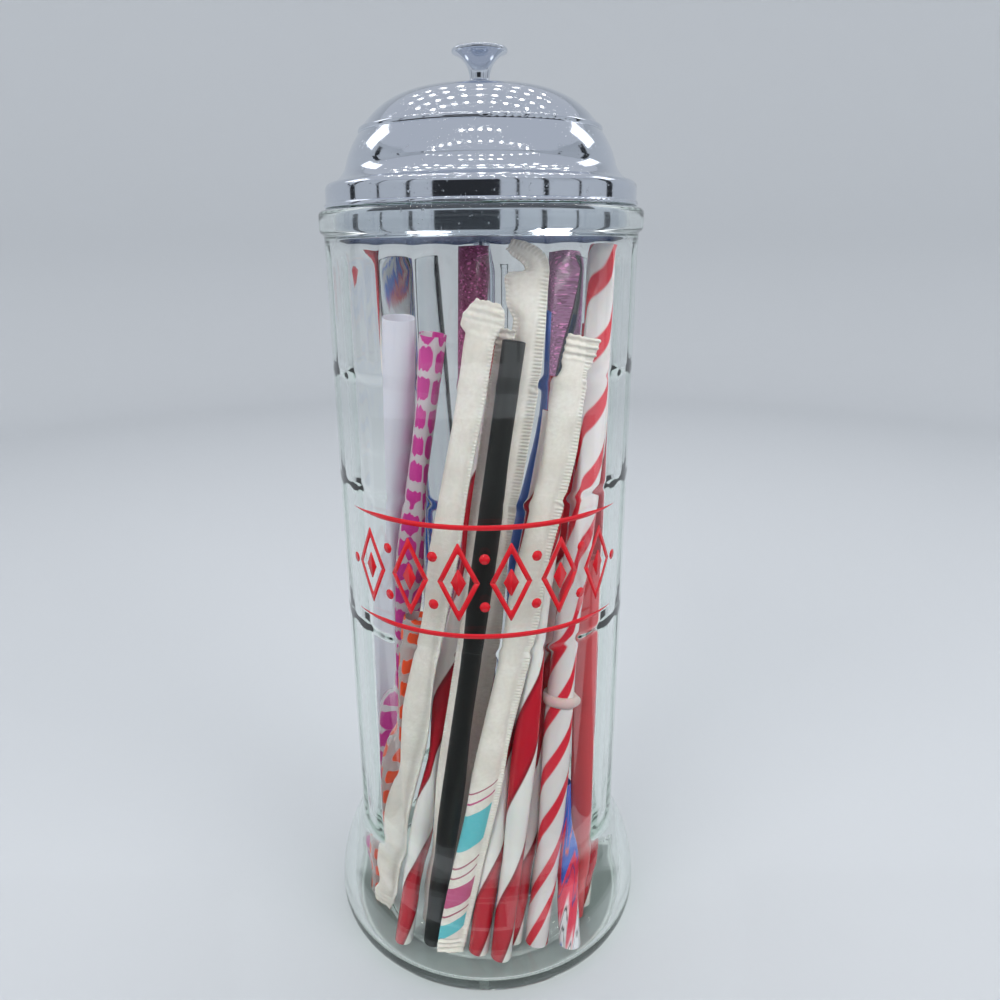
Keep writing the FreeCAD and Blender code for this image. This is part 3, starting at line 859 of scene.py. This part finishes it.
def printed_plastic(name, ground_hex, clearness, ink_hex, ink_shade_hex, around_count, first_column,
                    pitch_mm, width_share, height_share, ragged):
    """Rows of ink blotches with ragged ends on clear or milky plastic."""
    material, tree, turn, height = straw_material(name)
    cells = add(tree, "Math", {0: turn, 1: float(around_count), 2: first_column},
                operation="MULTIPLY_ADD")
    inside = add(tree, "Math", {0: cells}, operation="FRACT")
    across = add(tree, "MapRange", {0: inside, 3: -1 / width_share, 4: 1 / width_share})
    column = add(tree, "Math", {0: cells}, operation="FLOOR")
    stagger = add(tree, "Math", {0: column, 1: column_stagger}, operation="MULTIPLY")
    rows = add(tree, "Math", {0: height, 1: 1 / (pitch_mm * MM), 2: stagger}, operation="MULTIPLY_ADD")
    level = add(tree, "Math", {0: rows}, operation="FRACT")
    up = add(tree, "MapRange", {0: level, 3: -1.0, 4: 1.0})
    strokes_at = add(tree, "Math", {0: turn, 1: strokes_round}, operation="MULTIPLY")
    rows_at = add(tree, "Math", {0: height, 1: strokes_per_mm / MM}, operation="MULTIPLY")
    at = add(tree, "CombineXYZ", {0: strokes_at, 1: rows_at})
    strokes = add(tree, "TexNoise", {"Vector": at, "Scale": 1.0, "Detail": 1.0})
    reach = add(tree, "MapRange", {0: strokes, 1: 0.3, 2: 0.7, 3: height_share - ragged,
                                   4: height_share + ragged})
    high = add(tree, "Math", {0: up, 1: reach}, operation="DIVIDE")
    wide_power = add(tree, "Math", {0: across, 1: blotch_power}, operation="POWER")
    high_power = add(tree, "Math", {0: high, 1: blotch_power}, operation="POWER")
    total = add(tree, "Math", {0: wide_power, 1: high_power}, operation="ADD")
    ink = add(tree, "MapRange", {0: total, 1: ink_edge[0], 2: ink_edge[1], 3: 1.0, 4: 0.0})
    normal, lines = extrusion_lines(tree, turn, height, 0.15)
    shade = add(tree, "Mix", {MIX_FACTOR: strokes, COLOUR_A: linear(ink_hex),
                              COLOUR_B: linear(ink_shade_hex)}, data_type="RGBA")
    colour = add(tree, "Mix", {MIX_FACTOR: ink, COLOUR_A: linear(ground_hex),
                               COLOUR_B: shade.outputs[MIXED_COLOUR]}, data_type="RGBA")
    open_share = add(tree, "MapRange", {0: ink, 3: clearness, 4: 0.0})
    rough = add(tree, "MapRange", {0: lines, 3: 0.1, 4: 0.2})
    body = add(tree, "BsdfPrincipled", {
        "Base Color": colour.outputs[MIXED_COLOUR], "Roughness": rough, "IOR": clear_index,
        "Transmission Weight": open_share, "Normal": normal})
    close(tree, let_lamps_through(tree, body, linear(ground_hex)))
    return material


clear = clear_plastic("clear_acrylic", "#F2F4F5")
magenta_print = printed_plastic(
    "milky_acrylic_with_magenta_ink", "#EEE4EA", 0.5, "#CC3E92", "#B03084", around_count=4,
    first_column=0.73, pitch_mm=8.6, width_share=0.88, height_share=0.76, ragged=0.26)
orange_print = printed_plastic(
    "clear_acrylic_with_orange_ink", "#F2ECEC", 0.7, "#F0552E", "#E04A24", around_count=4,
    first_column=0.4, pitch_mm=9.5, width_share=0.7, height_share=0.62, ragged=0.16)
print("clear plastics ready")

# %% [markdown]
# ## The straws
#
# Now every straw node gets its tube. Those that stand on the glass floor ride with the jar, and
# those that stand on the lift plate ride with the lifter.

# %% Build the straws
STRAW_FINISHES = {
    "straw_twist_left": (red_white_twist, "red_white_twist", "root"),
    "straw_twist_front": (red_white_twist, "red_white_twist", "root"),
    "straw_twist_middle": (red_white_twist, "red_white_twist", "root"),
    "straw_twist_right": (red_white_twist, "red_white_twist", "root"),
    "straw_black": (black_plastic, "black_plastic", "root"),
    "straw_candy_stripe": (candy_stripe, "candy_stripe", "root"),
    "straw_marbled_short": (marbled, "marbled_plastic", "root"),
    "straw_coral": (coral_plastic, "coral_plastic", "root"),
    "straw_twist_side": (red_white_twist, "red_white_twist", "root"),
    "straw_lavender": (lavender_plastic, "lavender_plastic", "root"),
    "straw_magenta_print": (magenta_print, "magenta_print", "root"),
    "straw_orange_print": (orange_print, "orange_print", "root"),
    "straw_red_white_back": (red_white_twist, "red_white_twist", "lifter"),
    "straw_marbled_back": (marbled_back, "marbled_plastic", "lifter"),
    "straw_clear_left": (clear, "clear_plastic", "lifter"),
    "straw_clear_centre": (clear, "clear_plastic", "lifter"),
    "straw_clear_right": (clear, "clear_plastic", "lifter"),
    "straw_clear_thin": (clear, "clear_plastic", "lifter"),
    "straw_glitter_pink": (pink_glitter, "pink_glitter", "lifter"),
    "straw_glitter_purple": (purple_glitter, "purple_glitter", "lifter"),
    "straw_blue": (blue_plastic, "blue_plastic", "lifter"),
}
for node_name, (material, slot, body) in STRAW_FINISHES.items():
    straw_tube(node_name, material, slot, body)
print("straws:", len(STRAW_FINISHES))

# %% [markdown]
# ## Paper sleeves
#
# Some straws are still in their sleeves. Such a sleeve is a strip of thin tissue-like paper folded
# round the straw and crimped shut by toothed rollers: fine ribs run down its margins, and both
# ends are pressed flat and get crumpled by hands. Each sleeve is a loft. Stations give its left
# and right edges and its thickness along the straw, and for the bent one how far it leans over.
# The rows between are close enough for every rib to be real geometry.

# %% Sleeve measures
rib_pitch = 1.05
rows_per_rib = 4
rib_depth = 0.2
rib_fade = 0.5
paper_half = 0.16
straw_hump = 3.7
sleeve_side_columns = 17
crimp_length = 7.5
crimp_fade = 2.0
crimp_pitch = 2.1
crumple_body = 0.10
crumple_end = 0.55
crumple_reach = 13.0
crumple_power = 1.5
folds_per_mm = 0.22
fine_fold = 2.7                      # times finer than the main folds
fine_fold_share = 0.4
ragged_per_mm = 0.9
ragged_share = 0.8
# Height along the straw, left edge, right edge and half thickness in mm, and lean in degrees.
SLEEVE_STATIONS = {
    "wrapped_straw_left": [
        (0, -5.2, 2.4, 0.45, 0), (4, -5.4, 3.4, 0.7, 0), (10, -3.7, 4.2, 1.3, 0), (20, -4.6, 4.6, 2.0, 0),
        (200, -4.6, 4.6, 2.0, 0), (210, -4.4, 4.4, 1.7, 0), (216, -4.3, 4.3, 1.1, 0),
        (218, -6.6, 5.0, 0.7, 0), (220.5, -6.2, 6.3, 0.6, 0), (223.5, -4.5, 6.0, 0.5, 0),
        (226, -2.7, 4.2, 0.4, 0)],
    "wrapped_straw_slim": [
        (0, -1.4, 4.2, 0.45, 0), (4, -2.8, 3.6, 0.6, 0), (11, -2.7, 2.9, 1.3, 0), (22, -3.2, 3.2, 2.0, 0),
        (196, -3.2, 3.2, 2.0, 0), (207, -3.0, 3.0, 1.2, 0), (216, -3.1, 3.0, 0.4, 0)],
    "wrapped_straw_bent": [
        (0, -4.0, 4.2, 0.45, 0), (6, -4.3, 4.3, 0.8, 0), (16, -4.5, 4.5, 2.0, 0), (170, -4.6, 4.2, 2.0, 0),
        (200, -4.6, 4.0, 1.9, 0), (217, -4.8, 3.3, 1.8, 0), (223, -8.2, 2.8, 1.7, 0),
        (228.5, -9.5, 2.6, 1.2, 0), (230, -8.0, 2.6, 0.9, 0), (231.5, -4.4, 2.6, 0.7, -8),
        (233, -4.0, 2.5, 0.6, -28), (236, -3.8, 2.3, 0.5, -52), (240, -3.7, 2.0, 0.5, -66),
        (243.5, -2.6, 1.2, 0.4, -70)],
    "wrapped_straw_printed": [
        (0, -4.3, 4.8, 0.4, 0), (4, -4.8, 5.0, 0.6, 0), (11, -5.0, 5.0, 1.3, 0), (22, -5.0, 5.0, 1.75, 0),
        (190, -5.0, 5.0, 1.75, 0), (200, -4.8, 4.9, 1.6, 0), (205.5, -3.8, 4.2, 1.0, 0),
        (207.5, -4.3, 4.7, 0.7, 0), (215, -4.5, 4.9, 0.4, 0)],
}
# Width in mm of the ribbed margin on the left and on the right, and the depth of the crimped ends.
SLEEVE_MARGINS = {
    "wrapped_straw_left": (0.0, 1.0, 0.1),
    "wrapped_straw_slim": (1.0, 1.0, 0.3),
    "wrapped_straw_bent": (1.2, 2.6, 0.05),
    "wrapped_straw_printed": (0.0, 2.2, 0.3),
}
print("ribs every %.2f mm, in rows %.2f mm apart" % (rib_pitch, rib_pitch / rows_per_rib))


# %% Sleeve helpers
def between_stations(stations, height):
    """Edges, half thickness and lean at a height, eased from one station to the next."""
    for low, high in zip(stations, stations[1:]):
        if height <= high[0]:
            break
    share = min(1.0, max(0.0, (height - low[0]) / (high[0] - low[0])))
    eased = share * share * (3 - 2 * share)
    return [a + (b - a) * eased for a, b in zip(low[1:], high[1:])]


def ribbed(across, left, right, margins):
    """1 on a ribbed margin, 0 on the plain middle, with a short fade between."""
    from_left = margins[0] - (across - left)
    from_right = margins[1] - (right - across)
    return min(1.0, max(0.0, from_left / rib_fade, from_right / rib_fade))


def sleeve_faces(row_count):
    """Faces of the loft, and of its two ends, which are pressed flat."""
    columns = 2 * sleeve_side_columns
    faces = grid_faces(row_count + 1, columns, False)
    last = row_count * columns
    for column in range(sleeve_side_columns - 1):
        mirror = columns - 1 - column
        faces.append((column, mirror, mirror - 1, column + 1))
        faces.append((last + column, last + column + 1, last + mirror - 1, last + mirror))
    return faces


print("a sleeve has", 2 * sleeve_side_columns, "columns of points")


# %% Sleeve mesh
def paper_sleeve(node_name, material):
    """Closed sleeve round a wrapped straw, with ribs, crimped ends and crumples."""
    foot, direction, length, _ = axis_of(node_name)
    outward = Vector((foot.x, foot.y, 0)) + Vector((direction.x, direction.y, 0)) * length / 2
    right_hand = direction.cross(outward).normalized()
    front = right_hand.cross(direction)
    stations = SLEEVE_STATIONS[node_name]
    *margins, crimp_depth = SLEEVE_MARGINS[node_name]
    total = stations[-1][0]
    row_step = rib_pitch / rows_per_rib
    row_count = int(total / row_step)
    seed = Vector((11.0 * len(node_name), 5.0, 3.0))
    path = foot.copy()
    points = []
    places = []
    for row in range(row_count + 1):
        height = row * row_step
        left, right, half, lean = between_stations(stations, height)
        angle = math.radians(lean)
        ahead = direction * math.cos(angle) + right_hand * math.sin(angle)
        aside = right_hand * math.cos(angle) - direction * math.sin(angle)
        if row:
            path = path + ahead * row_step * MM
        end_gap = min(height, total - height)
        near_end = max(0.0, 1 - end_gap / crumple_reach) ** crumple_power
        crumpled = crumple_body + (crumple_end - crumple_body) * near_end
        crimped = min(1.0, max(0.0, (crimp_length - end_gap) / crimp_fade))
        rib_wave = math.sin(2 * math.pi * height / rib_pitch)
        crimp_wave = math.sin(2 * math.pi * end_gap / crimp_pitch)
        hump_middle = (left + margins[0] + right - margins[1]) / 2
        hump_half = min(straw_hump, (right - left - sum(margins)) / 2)
        for face in (1, -1):
            for column in range(sleeve_side_columns):
                share = column / (sleeve_side_columns - 1)
                across = left + (right - left) * (share if face == 1 else 1 - share)
                bulge = max(0.0, 1 - ((across - hump_middle) / hump_half) ** 2) ** 0.5
                thick = paper_half + (half - paper_half) * bulge
                ribs = ribbed(across, left, right, margins) * rib_depth * rib_wave
                at = Vector((across, height, 0)) * folds_per_mm + seed
                fold = crumpled * noise.noise(at) + fine_fold_share * crumpled * noise.noise(at * fine_fold)
                tear_at = Vector((across * ragged_per_mm, 0, 0)) + seed
                ragged = crumpled * ragged_share * noise.noise(tear_at) * (crimped > 0.5)
                out = face * thick + ribs + crimp_depth * crimped * crimp_wave + fold
                points.append(path + (aside * across + front * out + ahead * ragged) * MM)
                places.append((across * MM, height * MM))
    faces = sleeve_faces(row_count)
    uvs = [places[index] for face in faces for index in face]
    piece = new_piece(node_name + "_sleeve", points, faces, uvs)
    finish_piece(piece, material, "sleeve_paper", "root", node_name)


print("sleeves:", ", ".join(SLEEVE_STATIONS))

# %% [markdown]
# ## Paper and its colour bands
#
# Straw sleeves are made of thin machine-glazed paper, cream white, a little see-through, with
# short fibres that give it a soft mottle. One sleeve carries printed slanting bands near its foot,
# laid down by a roller in three thin inks, so the paper's grain shows through them.

# %% Paper materials
band_rise = 0.75                     # rise of a band for each millimetre to the right
print_edge = 2.9                     # the ribbed margin to the right of this stays bare


def sleeve_paper(name, bands=()):
    """Cream paper. Bands are (low, high, ink): heights in mm along the slant, ink in sRGB hex."""
    material, tree = new_material(name)
    uv = add(tree, "UVMap", uv_map="UVMap")
    fibres = add(tree, "TexNoise", {"Vector": uv, "Scale": 1 / (1.1 * MM), "Detail": 4.0,
                                    "Roughness": 0.65})
    clouds = add(tree, "TexNoise", {"Vector": uv, "Scale": 1 / (9.0 * MM)})
    mottle = add(tree, "Math", {0: fibres, 1: clouds}, operation="MULTIPLY")
    spread = add(tree, "MapRange", {0: mottle, 1: 0.12, 2: 0.4})
    paper = add(tree, "Mix", {MIX_FACTOR: spread, COLOUR_A: linear("#E6DCD4"),
                              COLOUR_B: linear("#F8F1EA")}, data_type="RGBA")
    colour = paper.outputs[MIXED_COLOUR]
    if bands:
        parts = add(tree, "SeparateXYZ", {0: uv})
        slant = add(tree, "Math", {0: parts.outputs[0], 1: -band_rise, 2: parts.outputs[1]},
                    operation="MULTIPLY_ADD")
        printed = add(tree, "Math", {0: parts.outputs[0], 1: print_edge * MM}, operation="LESS_THAN")
        cover = add(tree, "MapRange", {0: fibres, 3: 1.0, 4: 0.82})
        for low, high, ink in bands:
            above = add(tree, "Math", {0: slant, 1: low * MM}, operation="GREATER_THAN")
            below = add(tree, "Math", {0: slant, 1: high * MM}, operation="LESS_THAN")
            inside = add(tree, "Math", {0: above, 1: below}, operation="MULTIPLY")
            masked = add(tree, "Math", {0: inside, 1: printed}, operation="MULTIPLY")
            laid = add(tree, "Math", {0: masked, 1: cover}, operation="MULTIPLY")
            inked = add(tree, "Mix", {MIX_FACTOR: laid, COLOUR_A: colour, COLOUR_B: linear(ink)},
                        data_type="RGBA")
            colour = inked.outputs[MIXED_COLOUR]
    bump = add(tree, "Bump", {"Strength": 0.4, "Distance": 0.08 * MM, "Height": fibres})
    rough = add(tree, "MapRange", {0: fibres, 3: 0.55, 4: 0.8})
    body = add(tree, "BsdfPrincipled", {
        "Base Color": colour, "Roughness": rough, "IOR": 1.5, "Subsurface Weight": 0.12,
        "Subsurface Scale": 1.0 * MM, "Normal": bump})
    close(tree, body)
    return material


plain_paper = sleeve_paper("machine_glazed_paper")
teal, maroon, magenta = "#4FC3D0", "#A84A66", "#C2407E"
banded_paper = sleeve_paper("machine_glazed_paper_with_ink_bands", [
    (9, 15, teal), (18, 18.8, maroon), (22, 31, magenta), (35, 35.8, maroon), (39, 39.8, maroon),
    (46, 60, teal), (64, 64.8, magenta), (68, 68.6, maroon)])
for node_name in SLEEVE_STATIONS:
    paper_sleeve(node_name, banded_paper if node_name == "wrapped_straw_printed" else plain_paper)
print("paper sleeves:", len(SLEEVE_STATIONS))

# %% [markdown]
# ## The enamel band
#
# The print on such a jar is ceramic enamel, screened on and fired, so it is glossy and stands a
# few hundredths of a millimetre proud of the glass. Here it is a plain ornamental band: outlined
# lozenges with a small core, dots between them and two tapering lines. Every motif is built of
# narrow upright columns, because an upright line stays straight on a cylinder, so the thin film
# follows the curve of the glass.

# %% Enamel measures
enamel_gap = 0.02
enamel_radius = jar_radius + enamel_gap
enamel_film = 0.05
band_middle = 149.0
band_half_height = 17.0
column_width = 0.4
motif_pitch = 15.4
motif_count = 6
lozenge_half = (6.3, 12.6)
lozenge_line = (1.7, 3.4)
core_half = (2.3, 4.6)
dot_radius = 1.6
dot_rise = 7.5
end_dot_gap = 1.0
line_half = 0.8
line_reach = 47.0
line_taper = 14.0
motif_tip = 0.04
line_tip = 0.05
print("band from %.0f to %.0f mm" % (band_middle - band_half_height, band_middle + band_half_height))

# %% Enamel motifs
enamel_points = []
enamel_faces = []


def enamel_strip(middle, reach, low_edge, high_edge):
    """Closed thin film from columns: the edges are heights as functions of the way along the arc."""
    columns = max(2, round(2 * reach / column_width))
    first = len(enamel_points)
    for column in range(columns + 1):
        along = -reach + 2 * reach * column / columns
        angle = (middle + along) / jar_radius
        for radius in (enamel_radius, enamel_radius + enamel_film):
            for height in (low_edge(along), high_edge(along)):
                enamel_points.append((radius * math.sin(angle) * MM, -radius * math.cos(angle) * MM,
                                      height * MM))
    for column in range(columns):
        a = first + 4 * column
        b = a + 4
        enamel_faces.extend([(a + 2, b + 2, b + 3, a + 3), (a, a + 1, b + 1, b),
                             (a + 1, a + 3, b + 3, b + 1), (a, b, b + 2, a + 2)])
    enamel_faces.append((first, first + 2, first + 3, first + 1))
    last = first + 4 * columns
    enamel_faces.append((last, last + 1, last + 3, last + 2))


def lozenge(middle, half, line):
    """Outlined lozenge from an upper and a lower limb, or a solid one when it has no line."""
    def outer(along):
        return max(motif_tip, half[1] * (1 - abs(along) / half[0]))

    def inner(along):
        return max(0.0, (half[1] - line[1]) * (1 - abs(along) / (half[0] - line[0])))

    if line is None:
        enamel_strip(middle, half[0], lambda along: band_middle - outer(along),
                     lambda along: band_middle + outer(along))
        return
    enamel_strip(middle, half[0], lambda along: band_middle + inner(along),
                 lambda along: band_middle + outer(along))
    enamel_strip(middle, half[0], lambda along: band_middle - outer(along),
                 lambda along: band_middle - inner(along))


def dot(middle, height):
    """Round dot at a way along the arc and a height."""
    def rise(along):
        return max(motif_tip, math.sqrt(max(0.0, dot_radius ** 2 - along ** 2)))

    enamel_strip(middle, dot_radius, lambda along: height - rise(along), lambda along: height + rise(along))


def long_line(height):
    """Line along the arc that tapers to both ends."""
    def half_width(along):
        return max(line_tip, line_half * min(1.0, (line_reach - abs(along)) / line_taper))

    enamel_strip(0, line_reach, lambda along: height - half_width(along),
                 lambda along: height + half_width(along))


print("a motif every", motif_pitch, "mm")

# %% Enamel band
for index in range(motif_count):
    middle = (index - 0.5 * (motif_count - 1)) * motif_pitch
    lozenge(middle, lozenge_half, lozenge_line)
    lozenge(middle, core_half, None)
    if index + 1 < motif_count:
        dot(middle + 0.5 * motif_pitch, band_middle + dot_rise)
        dot(middle + 0.5 * motif_pitch, band_middle - dot_rise)
for side in (-1, 1):
    long_line(band_middle + side * band_half_height)
    dot(side * (0.5 * motif_count * motif_pitch + end_dot_gap), band_middle)
fired_enamel, tree = new_material("fired_red_enamel")
place = add(tree, "TexCoord")
flow = add(tree, "TexNoise", {"Vector": place.outputs["Object"], "Scale": 1 / (2.5 * MM), "Detail": 3.0})
tone = add(tree, "Mix", {MIX_FACTOR: flow, COLOUR_A: linear("#E3202B"), COLOUR_B: linear("#D01A28")},
           data_type="RGBA")
gloss = add(tree, "MapRange", {0: flow, 3: 0.1, 4: 0.22})
close(tree, add(tree, "BsdfPrincipled", {
    "Base Color": tone.outputs[MIXED_COLOUR], "Roughness": gloss, "IOR": 1.55}))
enamel = new_piece("enamel_band", enamel_points, enamel_faces)
enamel.data.materials.append(fired_enamel)
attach(enamel, "root")
print("enamel band:", len(enamel_faces), "faces")

# %% [markdown]
# ## The stop ring
#
# A soft ring of milky silicone rubber grips the striped straw. It is see-through at its thin edge
# and paler in the middle, so the material scatters light inside and is a little rough.

# %% Silicone ring
def refinish(node_name, material):
    """Give a CAD node its material. Its mesh stays as it is."""
    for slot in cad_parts[node_name].material_slots:
        slot.material = material


milky_silicone, tree = new_material("milky_silicone_rubber")
place = add(tree, "TexCoord")
haze = add(tree, "TexNoise", {"Vector": place.outputs["Object"], "Scale": 1 / (1.8 * MM), "Detail": 2.0})
milk_tone = add(tree, "Mix", {MIX_FACTOR: haze, COLOUR_A: linear("#F2D9D8"), COLOUR_B: linear("#E8C6C6")},
                data_type="RGBA")
satin = add(tree, "MapRange", {0: haze, 3: 0.3, 4: 0.45})
close(tree, add(tree, "BsdfPrincipled", {
    "Base Color": milk_tone.outputs[MIXED_COLOUR], "Roughness": satin, "IOR": 1.41,
    "Subsurface Weight": 0.6, "Subsurface Scale": 2.0 * MM, "Transmission Weight": 0.25}))
refinish("straw_stop_ring", milky_silicone)
print("stop ring ready")

# %% [markdown]
# ## Bright chrome
#
# The lid is pressed steel sheet, nickelled and chrome plated. Chrome is a slightly blue mirror.
# Years of wiping leave fine rings round the lid and a few tiny pits, which show only where a
# lamp is reflected, so they go into the roughness and a very weak bump. The rod, the lift plate,
# the nuts and the washer are zinc plated. They take the same recipe with a stronger bump.

# %% Chrome and zinc
plate_hex = "#DCE1EA"
wear_depth = 0.02
pit_range = (0.66, 0.74)
pit_height = -2.0
pit_roughness = 0.25
smears_per_radian = 1.2


def bright_plate(name, ring_mm, pit_mm, wear):
    """Mirror plate with rings round the axis, a ring_mm apart, and pits a pit_mm in size."""
    material, tree = new_material(name)
    place = add(tree, "TexCoord")
    parts = add(tree, "SeparateXYZ", {0: place.outputs["Object"]})
    flat = add(tree, "CombineXYZ", {0: parts.outputs[0], 1: parts.outputs[1]})
    reach = add(tree, "VectorMath", {0: flat}, operation="LENGTH")
    along = add(tree, "Math", {0: reach.outputs["Value"], 1: parts.outputs[2]}, operation="ADD")
    angle = add(tree, "Math", {0: parts.outputs[1], 1: parts.outputs[0]}, operation="ARCTAN2")
    rings = add(tree, "Math", {0: along, 1: 1 / (ring_mm * MM)}, operation="MULTIPLY")
    slow = add(tree, "Math", {0: angle, 1: smears_per_radian}, operation="MULTIPLY")
    at = add(tree, "CombineXYZ", {0: rings, 1: slow})
    wiping = add(tree, "TexNoise", {"Vector": at, "Scale": 1.0, "Detail": 4.0})
    pits = add(tree, "TexNoise", {"Vector": place.outputs["Object"], "Scale": 1 / (pit_mm * MM),
                                  "Detail": 2.0})
    pitted = add(tree, "MapRange", {0: pits, 1: pit_range[0], 2: pit_range[1]})
    height = add(tree, "Math", {0: pitted, 1: pit_height, 2: wiping}, operation="MULTIPLY_ADD")
    bump = add(tree, "Bump", {"Strength": wear, "Distance": wear_depth * MM, "Height": height})
    dull = add(tree, "MapRange", {0: wiping, 1: 0.3, 2: 0.75, 3: 0.03, 4: 0.12})
    duller = add(tree, "Math", {0: pitted, 1: pit_roughness, 2: dull}, operation="MULTIPLY_ADD")
    body = add(tree, "BsdfPrincipled", {
        "Base Color": linear(plate_hex), "Metallic": 1.0, "Roughness": duller, "Normal": bump})
    close(tree, body)
    return material


chrome_lid = bright_plate("bright_chrome_plate_wiped", ring_mm=0.5, pit_mm=0.9, wear=0.35)
chrome_knob = bright_plate("bright_chrome_plate_turned", ring_mm=0.35, pit_mm=0.7, wear=0.25)
plated_steel = bright_plate("zinc_plated_steel", ring_mm=0.3, pit_mm=0.6, wear=0.6)
NODE_FINISHES = {
    "lid_shell": chrome_lid,
    "lid_sleeve": chrome_lid,
    "lid_knob": chrome_knob,
    "lid_washer": plated_steel,
    "lid_nut": plated_steel,
    "lifter_rod": plated_steel,
    "lifter_plate": plated_steel,
    "plate_top_nut": plated_steel,
    "plate_foot_nut": plated_steel,
}
for node_name, material in NODE_FINISHES.items():
    refinish(node_name, material)
print("chrome and plated steel on", len(NODE_FINISHES), "nodes")
